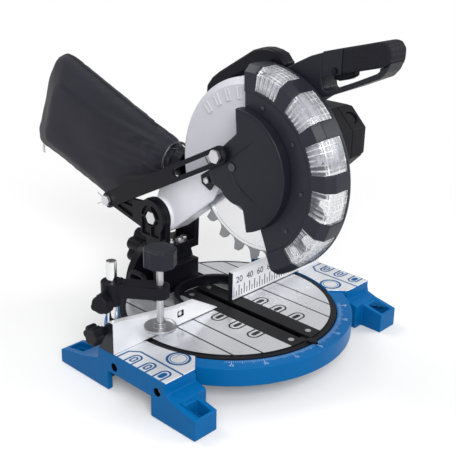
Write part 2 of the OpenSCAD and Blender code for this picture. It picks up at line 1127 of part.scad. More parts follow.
module clamp_screw() {
    color("silver")
        at_table()
            rod_z(scr, screw_d / 2, 31 + clear, 106);
}

module clamp_knob() {
    color("dimgray")
        at_table()
            plan(106, 127)
                translate(scr) {
                    circle(r = knob_d / 2 - 1);
                    for (i = [0 : 8])
                        rotate(i * 40)
                            translate([knob_d / 2 - 6, 0])
                                circle(r = 6, $fn = 32);
                }
}

module post_lock_knob() {
    color("black")
        at_table()
            translate([0, post_y, lock_z]) {
                rod_x([0, 0], 3, -hw - 9, post_x - post_d / 2 - clear);
                rod_x([0, 0], 6, -hw - 9, -hw - clear);
                side(-hw - 21, -hw - 9)
                    lobes(12.5, 6);
            }
}

base_casting();
rubber_feet();
fence();
fence_bridge();
fence_bolts();
turntable_disc();
turntable_rim();
kerf_plate_left();
kerf_plate_right();
kerf_screws();
mitre_pointer();
mitre_pivot();
mitre_lock();
bevel_bracket();
bevel_shaft();
bevel_arm();
lock_stud();
bevel_knob();
link_bracket();
pivot_bolt();
link_rear_pin();
depth_stop();
lock_pin();
arm_casting();
upper_guard();
gear_housing();
motor_housing();
motor_cap();
motor_screws();
brush_caps();
handle_left();
handle_right();
handle_collar();
handle_grip();
trigger();
lock_button();
carry_handle();
dust_port();
bag_clip();
dust_bag();
cable_gland();
arm_bracket();
blade();
blade_flanges();
arbor_bolt();
spindle();
guard_frame();
guard_windows();
guard_cover();
guard_screws();
link_front_pin();
link_bar();
clamp_post();
clamp_arm();
arm_lock_knob();
clamp_pad();
clamp_screw();
clamp_knob();
post_lock_knob();
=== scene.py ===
import bpy
import json
import math
from mathutils import Matrix, Vector, noise


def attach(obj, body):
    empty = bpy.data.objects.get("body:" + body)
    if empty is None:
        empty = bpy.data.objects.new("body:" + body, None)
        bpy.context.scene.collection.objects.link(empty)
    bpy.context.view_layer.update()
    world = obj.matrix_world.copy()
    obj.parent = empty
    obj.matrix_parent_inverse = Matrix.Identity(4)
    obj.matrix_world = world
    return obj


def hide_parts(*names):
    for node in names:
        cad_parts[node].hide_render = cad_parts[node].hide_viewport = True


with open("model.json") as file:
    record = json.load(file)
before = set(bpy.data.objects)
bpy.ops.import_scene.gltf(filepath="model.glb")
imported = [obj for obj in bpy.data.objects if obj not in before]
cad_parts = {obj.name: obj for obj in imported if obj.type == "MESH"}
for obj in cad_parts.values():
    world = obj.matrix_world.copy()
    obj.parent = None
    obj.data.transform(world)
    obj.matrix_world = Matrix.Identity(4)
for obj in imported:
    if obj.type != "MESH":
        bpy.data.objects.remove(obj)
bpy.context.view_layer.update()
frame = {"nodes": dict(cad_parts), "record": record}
bodyOf = {node: body for body, nodes in frame["record"]["behaviour"]["bodies"].items() for node in nodes}
tableShift = (0, 12.5, 50)  # mm, from the fence and table frame to the bench frame
edges = {"bevel": math.radians(33), "smooth": math.radians(35), "flat": math.radians(0.5)}
letter = {"size": 1.45, "proud": 0.0001}  # font size for a figure 1 high, and its half thickness


# helpers for meshes

def bench(p):
    return Vector([(p[i] + tableShift[i]) / 1000 for i in range(3)])


def pick(*objs):
    if bpy.context.object and bpy.context.object.mode != "OBJECT":
        bpy.ops.object.mode_set(mode="OBJECT")
    bpy.ops.object.select_all(action="DESELECT")
    for obj in objs:
        obj.select_set(True)
    bpy.context.view_layer.objects.active = objs[0]


def settle(obj):  # puts the place of a piece into its mesh
    pick(obj)
    bpy.ops.object.transform_apply(location=True, rotation=True, scale=True)
    return obj


def modify(obj, kind, **settings):
    pick(obj)
    mod = obj.modifiers.new(kind.lower(), kind)
    for key, value in settings.items():
        setattr(mod, key, value)
    bpy.ops.object.modifier_apply(modifier=mod.name)


def smooth(obj):
    pick(obj)
    bpy.ops.object.shade_smooth_by_angle(angle=edges["smooth"])


def outward(obj):
    pick(obj)
    bpy.ops.object.mode_set(mode="EDIT")
    bpy.ops.mesh.select_all(action="SELECT")
    bpy.ops.mesh.remove_doubles(threshold=1e-6)
    bpy.ops.mesh.normals_make_consistent(inside=False)
    bpy.ops.object.mode_set(mode="OBJECT")


def dress(obj, finish, body):
    obj.data.materials.clear()
    obj.data.materials.append(finish)
    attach(obj, body)


def join(objs, name):
    pick(*objs)
    if len(objs) > 1:
        bpy.ops.object.join()
    obj = bpy.context.object
    obj.name = obj.data.name = name
    return settle(obj)


def meshCopy(node, name):  # a merged copy of a CAD node's mesh
    obj = bpy.data.objects.new(name, frame["nodes"][node].data.copy())
    bpy.context.scene.collection.objects.link(obj)
    pick(obj)
    if obj.data.has_custom_normals:
        bpy.ops.mesh.customdata_custom_splitnormals_clear()
    bpy.ops.object.mode_set(mode="EDIT")
    bpy.ops.mesh.select_all(action="SELECT")
    bpy.ops.mesh.remove_doubles(threshold=2e-6)
    bpy.ops.object.mode_set(mode="OBJECT")
    return obj


def softCopy(node, width, segments):  # the same solid with rounded edges
    obj = meshCopy(node, node + "_shaped")
    bpy.ops.object.mode_set(mode="EDIT")
    bpy.ops.mesh.select_all(action="SELECT")
    bpy.ops.mesh.dissolve_limited(angle_limit=edges["flat"])
    bpy.ops.object.mode_set(mode="OBJECT")
    modify(obj, "BEVEL", width=width / 1000, segments=segments, limit_method="ANGLE",
           angle_limit=edges["bevel"], use_clamp_overlap=False, miter_outer="MITER_ARC")
    smooth(obj)
    modify(obj, "WEIGHTED_NORMAL", weight=80, keep_sharp=True)
    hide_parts(node)
    return obj


def castCopy(nodes, name, voxel, rounds):  # the same solids in one skin with soft, cast edges
    obj = join([meshCopy(node, node + "_part") for node in nodes], name)
    obj.data.remesh_voxel_size = voxel / 1000
    bpy.ops.object.voxel_remesh()
    modify(obj, "SMOOTH", factor=0.5, iterations=rounds)
    pick(obj)
    bpy.ops.object.shade_smooth()
    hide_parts(*nodes)
    return obj


def soften(obj, width):
    modify(obj, "BEVEL", width=width / 1000, segments=2, limit_method="ANGLE", angle_limit=edges["bevel"])
    smooth(obj)
    return obj


def rod(a, b, r, sides=24):  # a rod between two points of the table frame
    a = bench(a)
    b = bench(b)
    d = b - a
    bpy.ops.mesh.primitive_cylinder_add(vertices=sides, radius=r / 1000, depth=d.length)
    obj = bpy.context.object
    obj.matrix_world = Matrix.Translation((a + b) / 2) @ d.to_track_quat("Z", "Y").to_matrix().to_4x4()
    return settle(obj)


def slab(x0, x1, y0, y1, z0, z1):
    bpy.ops.mesh.primitive_cube_add(size=1)
    obj = bpy.context.object
    low = bench((x0, y0, z0))
    high = bench((x1, y1, z1))
    obj.location = (low + high) / 2
    obj.scale = high - low
    return settle(obj)


def wire(points, r, closed=False):  # a round wire through points of the table frame
    line = bpy.data.curves.new("wire", "CURVE")
    line.dimensions = "3D"
    line.bevel_depth = r / 1000
    line.bevel_resolution = 3
    line.use_fill_caps = True
    spline = line.splines.new("NURBS")
    spline.points.add(len(points) - 1)
    for point, p in zip(spline.points, points):
        point.co = (*bench(p), 1)
    spline.use_endpoint_u = True
    spline.order_u = 3
    spline.use_cyclic_u = closed
    obj = bpy.data.objects.new("wire", line)
    bpy.context.scene.collection.objects.link(obj)
    pick(obj)
    bpy.ops.object.convert(target="MESH")
    obj = bpy.context.object
    outward(obj)
    bpy.ops.object.shade_smooth()
    return obj


def hexScrew(base, axis, r, height, stud=0):  # a nut on its seat with the end of its screw
    base = Vector(base)
    axis = Vector(axis).normalized()
    parts = [soften(rod(base, base + axis * height, r, 6), 0.5)]
    if stud:
        low = base + axis * (height - 0.2)
        parts.append(soften(rod(low, base + axis * (height + stud), r * 0.52, 20), 0.4))
    return join(parts, "nut")


def figure(word, height, place, right, up):  # a printed number, a little proud of its face
    bpy.ops.object.text_add()
    obj = bpy.context.object
    obj.data.body = word
    obj.data.size = height / 1000 * letter["size"]
    obj.data.align_x = "CENTER"
    obj.data.align_y = "CENTER"
    obj.data.extrude = letter["proud"]
    obj.data.resolution_u = 4
    pick(obj)
    bpy.ops.object.convert(target="MESH")
    obj = bpy.context.object
    right = Vector(right).normalized()
    up = Vector(up).normalized()
    turn = Matrix((right, up, right.cross(up))).transposed().to_4x4()
    obj.matrix_world = Matrix.Translation(bench(place)) @ turn
    settle(obj)
    outward(obj)
    return obj


# shader expressions

class Wire:
    def __init__(self, tree, socket):
        self.tree = tree
        self.socket = socket

    def calc(self, operation, a, b=None):
        sockets = {0: a}
        if b is not None:
            sockets[1] = b
        return Graph(self.tree).add("ShaderNodeMath", {"operation": operation}, sockets)

    def __add__(self, other):
        return self.calc("ADD", self, other)

    def __radd__(self, other):
        return self.calc("ADD", other, self)

    def __sub__(self, other):
        return self.calc("SUBTRACT", self, other)

    def __rsub__(self, other):
        return self.calc("SUBTRACT", other, self)

    def __mul__(self, other):
        return self.calc("MULTIPLY", self, other)

    def __truediv__(self, other):
        return self.calc("DIVIDE", self, other)

    def __neg__(self):
        return self.calc("MULTIPLY", self, -1)

    def __abs__(self):
        return self.calc("ABSOLUTE", self)

    def __lt__(self, other):
        return self.calc("LESS_THAN", self, other)

    def __gt__(self, other):
        return self.calc("GREATER_THAN", self, other)

    def __or__(self, other):
        return self.calc("MAXIMUM", self, other)

    def __and__(self, other):
        return self.calc("MULTIPLY", self, other)

    def __pow__(self, other):
        return self.calc("POWER", self, other)

    def least(self, other):
        return self.calc("MINIMUM", self, other)

    def clamp(self):
        return (self | 0.0).least(1.0)

    def sine(self):
        return self.calc("SINE", self)

    def angle(self, other):  # degrees of the direction (other, self)
        return self.calc("ARCTAN2", self, other) * (180 / math.pi)

    def repeat(self, step):  # distance from the nearest multiple of step
        sockets = {0: self, 1: step / 2, 2: -step / 2}
        return abs(Graph(self.tree).add("ShaderNodeMath", {"operation": "WRAP"}, sockets))

    def step(self, low, high):  # 0 at low, 1 at high
        return ((self - low) / (high - low)).clamp()


class Graph:
    def __init__(self, tree):
        self.tree = tree

    def add(self, kind, settings=None, sockets=None, out=0):
        node = self.tree.nodes.new(kind)
        for key, value in (settings or {}).items():
            setattr(node, key, value)
        for key, value in (sockets or {}).items():
            self.join(value, node.inputs[key])
        if out is None:
            return [Wire(self.tree, socket) for socket in node.outputs]
        return Wire(self.tree, node.outputs[out])

    def join(self, value, socket):
        if isinstance(value, Wire):
            self.tree.links.new(value.socket, socket)
        else:
            socket.default_value = value


class Finish(Graph):
    def __init__(self, name):
        self.mat = bpy.data.materials.new(name)
        self.mat.use_nodes = True
        super().__init__(self.mat.node_tree)
        self.shader = self.tree.nodes["Principled BSDF"]

    def feed(self, **values):  # shader sockets, spaces written as underscores
        for key, value in values.items():
            self.join(value, self.shader.inputs[key.replace("_", " ")])

    def spot(self):
        return self.add("ShaderNodeTexCoord", out=3)

    def place(self):  # x, y, z in mm in the table frame
        moved = self.add("ShaderNodeVectorMath", {"operation": "MULTIPLY_ADD"},
                         {0: self.spot(), 1: (1000, 1000, 1000), 2: [-s for s in tableShift]})
        return self.add("ShaderNodeSeparateXYZ", None, {0: moved}, None)

    def noise(self, scale, detail=2.0, stretch=None, rough=0.5):
        co = self.spot()
        if stretch:
            co = self.add("ShaderNodeVectorMath", {"operation": "MULTIPLY"}, {0: co, 1: stretch})
        return self.add("ShaderNodeTexNoise", None,
                        {"Vector": co, "Scale": scale, "Detail": detail, "Roughness": rough})

    def blend(self, factor, a, b):  # colour a where factor is 0, b where it is 1
        a = a if isinstance(a, Wire) else (*a, 1)
        b = b if isinstance(b, Wire) else (*b, 1)
        return self.add("ShaderNodeMix", {"data_type": "RGBA"}, {0: factor, 6: a, 7: b}, 2)

    def bump(self, height, strength, distance):
        sockets = {"Height": height, "Strength": strength, "Distance": distance}
        self.feed(Normal=self.add("ShaderNodeBump", None, sockets))


def shade(color, k):
    return tuple(min(1, c * k) for c in color)


def segment(x, y, a, b):  # distance of (x, y) from the line a-b
    dx = b[0] - a[0]
    dy = b[1] - a[1]
    t = (((x - a[0]) * dx + (y - a[1]) * dy) / (dx * dx + dy * dy)).clamp()
    u = x - a[0] - t * dx
    v = y - a[1] - t * dy
    return (u * u + v * v) ** 0.5


def anyOf(masks):
    total = masks[0]
    for mask in masks[1:]:
        total = total | mask
    return total


def moulded(name, color, rough, grain=0.16, gloss=0.24):  # plastic with a fine spark grain
    f = Finish(name)
    cloud = f.noise(35, 3)
    fine = f.noise(1000 / 0.9, 2)  # a grain of 0.9 mm
    tone = f.blend(cloud, shade(color, 0.86), shade(color, 1.16))
    f.feed(Base_Color=tone, Specular_IOR_Level=gloss,
           Roughness=rough + (cloud - 0.5) * 0.16 + (fine - 0.5) * 0.1)
    f.bump(fine, grain, 0.0004)
    return f.mat


def painted(name, color, rough, peel, coat, gloss=0.5):  # paint on a casting, with a little orange peel
    f = Finish(name)
    cloud = f.noise(28, 4)
    skin = f.noise(420, 2)
    tone = f.blend(cloud, shade(color, 0.93), shade(color, 1.07))
    f.feed(Base_Color=tone, Roughness=rough + (cloud - 0.5) * 0.12 + (skin - 0.5) * 0.06,
           Coat_Weight=coat, Coat_Roughness=0.2, Specular_IOR_Level=gloss)
    f.bump(skin, peel, 0.0006)
    return f.mat


def turned(name, color, rough, stretch=(40, 1, 1)):  # bright steel with fine tool marks
    f = Finish(name)
    marks = f.noise(160, 2, stretch)
    cloud = f.noise(60, 2)
    tone = f.blend(cloud, shade(color, 0.9), shade(color, 1.05))
    f.feed(Base_Color=tone, Metallic=1.0, Roughness=rough + (marks - 0.5) * 0.22)
    f.bump(marks, 0.05, 0.0002)
    return f.mat


# finishes

tones = {
    "blue": (0.001, 0.118, 0.345), "silver": (0.74, 0.75, 0.78), "white": (0.80, 0.81, 0.84),
    "black": (0.0065, 0.0065, 0.0105), "charcoal": (0.012, 0.0125, 0.020), "grey": (0.018, 0.019, 0.028),
    "steel": (0.70, 0.70, 0.72), "bag": (0.012, 0.0115, 0.020), "ink": (0.004, 0.004, 0.006),
}
label = {"start": 100, "end": 185.6, "round": 138.6, "back": -0.2, "half": 1.25,
         "path": ((186, -5), (168.4, -5), (160, -15.4), (160, -84)), "marks": (-22.7, -45.8, -70),
         "arch": (173, 191, 6.2, 1.2), "core": (174, 179, 2.4, 1.1),  # start, end, radius, half width
         "filled": 3.2, "ring": (140, -56.5), "rings": ((13, 1.5), (9.6, 0.5))}
dial = {"inner": 140, "reach": 48, "level": -2, "ticks": ((1, 0.2, 4), (5, 0.25, 6), (15, 0.32, 7.5)),
        "marks": range(-45, 46, 15), "figures": 10, "high": 4.2}
shadedBores = {"y": (0, -72), "z": -16, "r": 5.196, "from": 174, "to": 186.4}  # the insides of these bores are painted dark as painted shade


def basePaint():
    f = Finish("bluePaint")
    x, y, z = f.place()
    ax = abs(x)
    r = (x * x + y * y) ** 0.5
    plate = (z > -0.5) & (ax > label["start"]) & (ax < label["end"])
    plate = plate & (r > label["round"]) & (y < label["back"])
    path = label["path"]
    prints = [segment(ax, y, a, b) < label["half"] for a, b in zip(path, path[1:])]
    for mark in label["marks"]:
        for start, end, radius, half in (label["arch"], label["core"]):
            d = segment(ax, y, (start, mark), (end, mark))
            prints.append(abs(d - radius) < half)
    prints.append(d < label["filled"])  # the last core
    cx, cy = label["ring"]
    ring = ((ax - cx) * (ax - cx) + (y - cy) * (y - cy)) ** 0.5
    line = anyOf(prints + [abs(ring - radius) < half for radius, half in label["rings"]])
    turn = x.angle(-y)
    inner = dial["inner"]
    arc = math.radians(inner)  # mm in a degree
    ticks = [(turn.repeat(step) * arc < half) & (r < inner + high) for step, half, high in dial["ticks"]]
    scale = anyOf(ticks) & (abs(turn) < dial["reach"]) & (r > inner) & (abs(z - dial["level"]) < 0.3)
    cloud = f.noise(28, 4)
    skin = f.noise(420, 2)
    streak = f.noise(30, 3, (1, 14, 1))
    paint = f.blend(cloud, shade(tones["blue"], 0.92), shade(tones["blue"], 1.08))
    plateTone = f.blend(streak, shade(tones["white"], 0.9), shade(tones["white"], 1.1))
    tone = f.blend(plate, paint, f.blend(line, plateTone, shade(tones["blue"], 0.75)))
    tone = f.blend(scale * 0.5, tone, (0.8, 0.84, 0.9))
    # painted shade: the insides of the side bores are coloured near black
    up = (z - shadedBores["z"]) * (z - shadedBores["z"])
    boreShade = anyOf([(y - at) * (y - at) + up < shadedBores["r"] ** 2 for at in shadedBores["y"]])
    tone = f.blend(boreShade & (ax > shadedBores["from"]) & (ax < shadedBores["to"]), tone, tones["ink"])
    bare = plate & (1 - line)
    f.feed(Base_Color=tone, Metallic=bare * 0.5, Specular_IOR_Level=0.09,
           Roughness=0.3 + (cloud - 0.5) * 0.1 + bare * (streak - 0.4) * 0.3)
    f.bump(skin * (1 - plate), 0.07, 0.0006)
    return f.mat


discPrint = {"lines": (62.5, 90.5), "half": 1.1, "right": (-24.8, -54.4, -84), "left": (-18, -47.8, -77.6),
             "from": 26, "arch": (16, 37.6, 7.4, 1.15), "core": (30, 37.6, 2.9)}


def discMetal():
    f = Finish("turntableMetal")
    x, y, z = f.place()
    ax = abs(x)
    stripes = anyOf([abs(ax - at) < discPrint["half"] for at in discPrint["lines"]])
    marks = []
    for side, rows in ((1, discPrint["right"]), (-1, discPrint["left"])):
        for row in rows:
            start, end, radius, half = discPrint["arch"]
            d = segment(x * side, y, (start, row), (end, row))
            marks.append((abs(d - radius) < half) & (x * side > discPrint["from"]))
            start, end, radius = discPrint["core"]
            marks.append(segment(x * side, y, (start, row), (end, row)) < radius)
    ink = ((stripes | (anyOf(marks) & (y < 0))) | (z < -0.4)).clamp()  # print on the top, and painted shade: the slot below the top is painted black
    cloud = f.noise(9, 4, rough=0.6)
    band = f.noise(5, 2, (1, 3, 1))
    metal = f.blend(band, shade(tones["silver"], 0.8), shade(tones["silver"], 1.25))
    f.feed(Base_Color=f.blend(ink, metal, tones["ink"]), Metallic=(1 - ink) * 0.7,
           Roughness=0.26 + (cloud - 0.5) * 0.2 + ink * 0.2)
    return f.mat


ruler = {"first": 10, "last": 184, "foot": 4.4, "ticks": ((10, 0.8, 19.2), (5, 0.7, 12.5)),
         "marks": range(20, 161, 20), "figures": 27, "high": 8.6, "narrow": 0.78}
fenceFace = {"front": 0.4, "back": 8.6, "end": 186.6, "top": 38.3, "lip": 0.7,
             # start, height and fall of the stretches of the left edge
             "left": ((-178, 39, 0.161), (-88, 24.5, 0.0484), (-57, 23, 0.579))}


def fenceMetal():
    f = Finish("fenceMetal")
    x, y, z = f.place()
    a, b, c = [height - (x - start) * fall for start, height, fall in fenceFace["left"]]
    top = (z > (a | b).least(c) - fenceFace["lip"]) & (x < 0) | (z > fenceFace["top"])
    bright = ((y < fenceFace["front"]) | (top & (y < fenceFace["back"]))) & (abs(x) < fenceFace["end"])
    tick = anyOf([(x.repeat(step) < half) & (z < high) for step, half, high in ruler["ticks"]])
    tick = tick & (z > ruler["foot"]) & (y < 0.3) & (x > ruler["first"]) & (x < ruler["last"])
    cloud = f.noise(16, 4)
    streak = f.noise(50, 3, (1, 1, 20))
    face = f.blend(cloud, shade(tones["white"], 0.94), shade(tones["white"], 1.08))
    tone = f.blend(bright, tones["charcoal"], face)
    tone = f.blend(tick, tone, tones["ink"])
    metal = bright & (1 - tick)
    f.feed(Base_Color=tone, Metallic=metal * 0.12, Specular_IOR_Level=0.3,
           Roughness=0.46 - metal * 0.1 + (streak - 0.5) * 0.14)
    f.bump(streak, 0.03, 0.0004)
    return f.mat


bladeDisc = {"y": -40, "z": 182, "rim": 92.5}


def bladeSteel():
    f = Finish("bladeSteel")
    y, z = f.place()[1:]
    u = y - bladeDisc["y"]
    v = z - bladeDisc["z"]
    r = (u * u + v * v) ** 0.5
    rim = r > bladeDisc["rim"]
    rings = (r * 5.2 + f.noise(30, 2) * 3).sine()
    cloud = f.noise(14, 3)
    tone = f.blend(cloud, tones["steel"], shade(tones["steel"], 1.3))
    tone = f.blend(rim, tone, (0.30, 0.30, 0.32))
    f.feed(Base_Color=tone, Metallic=1.0, Roughness=0.24 + rings * 0.04 + rim * 0.12)
    f.bump(rings, 0.03, 0.0001)
    return f.mat


panes = {"y": -39, "z": 187, "pitch": 3.1, "rows": 6.2, "lip": (119, 121.5), "film": 0.16}


def clearPlastic():  # ribbed clear panes: the ribs and the band at the rim are painted near white as painted highlights, the fields between are see-through
    f = Finish("clearRibbed")
    x, y, z = f.place()
    u = y - panes["y"]
    v = z - panes["z"]
    r = (u * u + v * v) ** 0.5
    turn = v.angle(u)
    cross = (turn.repeat(panes["pitch"]) / (panes["pitch"] / 2)).step(0.5, 0.85)
    along = (x.repeat(panes["rows"]) / (panes["rows"] / 2)).step(0.55, 0.9)
    wave = f.noise(60, 2)
    # painted highlight: a pale band beyond the lip of the panes
    edge = r.step(*panes["lip"])
    ribHighlights = ((cross * 0.75 | along) * wave.step(0.3, 0.6) | edge * 0.35).clamp()
    f.feed(Base_Color=f.blend(ribHighlights, (0.50, 0.51, 0.57), (0.97, 0.97, 0.98)), Roughness=0.1 + ribHighlights * 0.12,
           Alpha=panes["film"] + ribHighlights * 0.74, Coat_Weight=0.6, Coat_Roughness=0.05)
    f.bump(cross | along, 0.6, 0.0012)
    return f.mat


grip = {"pitch": 1.7, "lean": (0.965, 0.262), "middle": 32}


def gripRubber():  # soft black rubber with rows of small round pips
    f = Finish("gripRubber")
    x, y, z = f.place()
    along = y * grip["lean"][0] - z * grip["lean"][1]
    dots = (along.repeat(grip["pitch"]) ** 2 + (x * 0.6 + z).repeat(grip["pitch"]) ** 2) ** 0.5
    dots = 1 - dots.step(0.25, 0.65)
    cloud = f.noise(30, 3)
    f.feed(Base_Color=f.blend(dots, tones["black"], (0.016, 0.016, 0.024)), Specular_IOR_Level=0.2,
           Roughness=0.6 + (cloud - 0.5) * 0.14)
    f.bump(dots, 0.5, 0.0005)
    return f.mat


def handlePlastic():  # charcoal plastic with the joint line of the two halves
    f = Finish("handlePlastic")
    x = f.place()[0]
    seam = 1 - abs(x - grip["middle"]).step(0.25, 0.6)
    cloud = f.noise(35, 3)
    fine = f.noise(1100, 2)
    tone = f.blend(cloud, shade(tones["charcoal"], 0.86), shade(tones["charcoal"], 1.16))
    f.feed(Base_Color=f.blend(seam, tone, tones["ink"]), Specular_IOR_Level=0.24,
           Roughness=0.42 + (cloud - 0.5) * 0.16 + (fine - 0.5) * 0.1)
    f.bump(fine * 0.2 - seam, 0.5, 0.0005)
    return f.mat


weaveRate = 5.5  # radians in a mm


def bagCloth():
    f = Finish("bagCloth")
    x, y, z = f.place()
    weave = (y * weaveRate).sine() * (x * weaveRate + z * weaveRate).sine()
    foldAndShade = f.noise(16, 4)
    thread = f.noise(900, 2)
    # painted shade: the fold noise darkens and lightens the cloth colour as the shade and light of folds
    tone = f.blend(foldAndShade, shade(tones["bag"], 0.75), shade(tones["bag"], 1.35))
    f.feed(Base_Color=tone, Roughness=0.62 + (foldAndShade - 0.5) * 0.2 + weave * 0.04, Sheen_Weight=0.06,
           Sheen_Roughness=0.45, Specular_IOR_Level=0.25)
    f.bump(weave * 0.5 + thread * 0.6 + foldAndShade * 0.8, 0.22, 0.0007)
    return f.mat


clampScrew = {"x": -142, "y": -29, "pitch": 1.25}


def threadSteel():
    f = Finish("threadSteel")
    x, y, z = f.place()
    turn = (y - clampScrew["y"]).angle(x - clampScrew["x"]) * math.radians(1)
    thread = (z * (2 * math.pi / clampScrew["pitch"]) + turn).sine()
    # painted shade: the troughs of the thread are coloured darker than the crests
    f.feed(Base_Color=f.blend(thread * 0.5 + 0.5, shade(tones["steel"], 0.75), tones["steel"]),
           Metallic=1.0, Roughness=0.3 + thread * 0.06)
    f.bump(thread, 0.25, 0.0005)
    return f.mat


finishes = {
    "blue": basePaint(),
    "disc": discMetal(),
    "fence": fenceMetal(),
    "blade": bladeSteel(),
    "clear": clearPlastic(),
    "grip": gripRubber(),
    "bag": bagCloth(),
    "thread": threadSteel(),
    "handle": handlePlastic(),
    "black": moulded("blackPlastic", tones["black"], 0.4, 0.12, 0.14),
    "charcoal": moulded("charcoalPlastic", tones["charcoal"], 0.42),
    "grey": moulded("greyPlastic", tones["grey"], 0.45),
    "rubber": moulded("footRubber", tones["black"], 0.75, 0.3),
    "rib": moulded("guardPlastic", (0.021, 0.022, 0.032), 0.4),
    "pad": turned("padSteel", (0.46, 0.46, 0.48), 0.42),
    "motor": moulded("motorPlastic", (0.004, 0.004, 0.007), 0.5, 0.16, 0.14),
    "kerf": moulded("kerfPlastic", (0.007, 0.007, 0.009), 0.5, 0.1),
    "cast": painted("blackCasting", (0.005, 0.005, 0.008), 0.32, 0.1, 0.04, 0.14),
    "silver": painted("silverCasting", (0.84, 0.85, 0.91), 0.34, 0.05, 0.15),
    "guard": painted("guardPaint", (0.60, 0.60, 0.66), 0.4, 0.03, 0.1),
    "steel": turned("brightSteel", tones["steel"], 0.4),
    "chrome": turned("chromeSteel", (0.78, 0.78, 0.8), 0.1, (1, 1, 40)),
    "ink": moulded("printInk", tones["ink"], 0.6, 0.02),
    "dialInk": moulded("dialInk", (0.3, 0.45, 0.62), 0.6, 0.02),
    "piping": moulded("seamTape", (0.016, 0.016, 0.021), 0.6, 0.3),
    "darkWire": turned("darkWire", (0.10, 0.10, 0.11), 0.4),
}
print("finishes ready")


# the CAD nodes: finish and, where it shows, rounded edges (mm, segments)

looks = {
    "base_casting": ("blue", 1.0, 3), "rubber_feet": ("rubber", 0, 0), "fence": ("fence", 0.6, 2),
    "fence_bridge": ("cast", 0.8, 2), "fence_bolts": ("steel", 0.5, 2), "turntable_disc": ("disc", 0, 0),
    "turntable_rim": ("black", 0.6, 2), "kerf_plate_left": ("kerf", 0.3, 2),
    "kerf_plate_right": ("kerf", 0.3, 2), "kerf_screws": ("steel", 0.2, 2),
    "mitre_pointer": ("black", 0.4, 2), "mitre_pivot": ("steel", 0.5, 2), "mitre_lock": ("black", 1.2, 3),
    "bevel_bracket": ("cast", 0.7, 3), "bevel_shaft": ("steel", 0.5, 2), "bevel_arm": ("cast", 0.8, 3),
    "lock_stud": ("steel", 0, 0), "bevel_knob": ("black", 2.0, 3), "link_bracket": ("cast", 0.45, 2),
    "pivot_bolt": ("steel", 0, 0), "link_rear_pin": ("steel", 0.6, 2), "depth_stop": ("steel", 0.5, 2),
    "lock_pin": ("steel", 0.8, 2), "upper_guard": ("guard", 0.5, 2),
    "gear_housing": ("grey", 2.0, 3), "motor_housing": ("motor", 1.2, 2), "motor_cap": ("motor", 1.5, 3),
    "motor_screws": ("steel", 0.4, 2), "brush_caps": ("black", 0.5, 2), "handle_collar": ("charcoal", 0.8, 3),
    "trigger": ("black", 1.5, 3), "lock_button": ("black", 0.8, 2), "carry_handle": ("black", 5.0, 5),
    "dust_port": ("black", 0.6, 2), "bag_clip": ("darkWire", 0, 0), "cable_gland": ("black", 1.0, 2),
    "arm_bracket": ("charcoal", 0.8, 2), "blade": ("blade", 0, 0), "blade_flanges": ("steel", 0.5, 2),
    "arbor_bolt": ("steel", 0.5, 2), "spindle": ("steel", 0, 0), "guard_frame": ("rib", 1.0, 2),
    "guard_windows": ("clear", 0.5, 2), "guard_screws": ("darkWire", 0.4, 2),
    "link_front_pin": ("steel", 0.6, 2), "link_bar": ("black", 0.8, 2), "clamp_post": ("chrome", 1.0, 2),
    "clamp_arm": ("black", 1.5, 3), "arm_lock_knob": ("black", 1.8, 3), "clamp_pad": ("pad", 0.8, 3),
    "clamp_screw": ("thread", 0, 0), "clamp_knob": ("charcoal", 1.8, 3), "post_lock_knob": ("black", 1.8, 3),
}
for node, (finish, width, segments) in looks.items():
    if width:
        dress(softCopy(node, width, segments), finishes[finish], bodyOf[node])
    else:
        frame["nodes"][node].data.materials.clear()
        frame["nodes"][node].data.materials.append(finishes[finish])
casts = {  # nodes, voxel size in mm, rounds of smoothing, finish
    "handleShell": (("handle_left", "handle_right"), 1.3, 14, "handle"),
    "headArm": (("arm_casting",), 1.6, 10, "silver"),
    "gripSleeve": (("handle_grip",), 1.0, 40, "grip"),
    "sideCover": (("guard_cover",), 1.2, 26, "charcoal"),
}
triggerRoom = (25.4, 38.6, -148.8, -136, 295, 324.6)  # cut out of the grip for the pulled trigger
for name, (nodes, voxel, rounds, finish) in casts.items():
    dress(castCopy(nodes, name, voxel, rounds), finishes[finish], bodyOf[nodes[0]])
room = slab(*triggerRoom)
modify(bpy.data.objects["gripSleeve"], "BOOLEAN", operation="DIFFERENCE", solver="EXACT", object=room)
bpy.data.objects.remove(room)
print("nodes dressed")


# printed numbers

def makeFigures():
    words = []
    for mark in ruler["marks"]:
        high = ruler["high"] if mark < 100 else ruler["high"] * ruler["narrow"]
        words.append(figure(str(mark), high, (mark, -0.05, ruler["figures"]), (1, 0, 0), (0, 0, 1)))
    dress(join(words, "rulerFigures"), finishes["ink"], "base")
    words = []
    for mark in dial["marks"]:
        a = math.radians(mark)
        r = dial["inner"] + dial["figures"]
        place = (r * math.sin(a), -r * math.cos(a), dial["level"] + 0.05)
        right = (math.cos(a), math.sin(a), 0)
        up = (-math.sin(a), math.cos(a), 0)
        words.append(figure(str(abs(mark)), dial["high"], place, right, up))
    dress(join(words, "dialFigures"), finishes["dialInk"], "base")


makeFigures()
print("numbers printed")


# small hardware

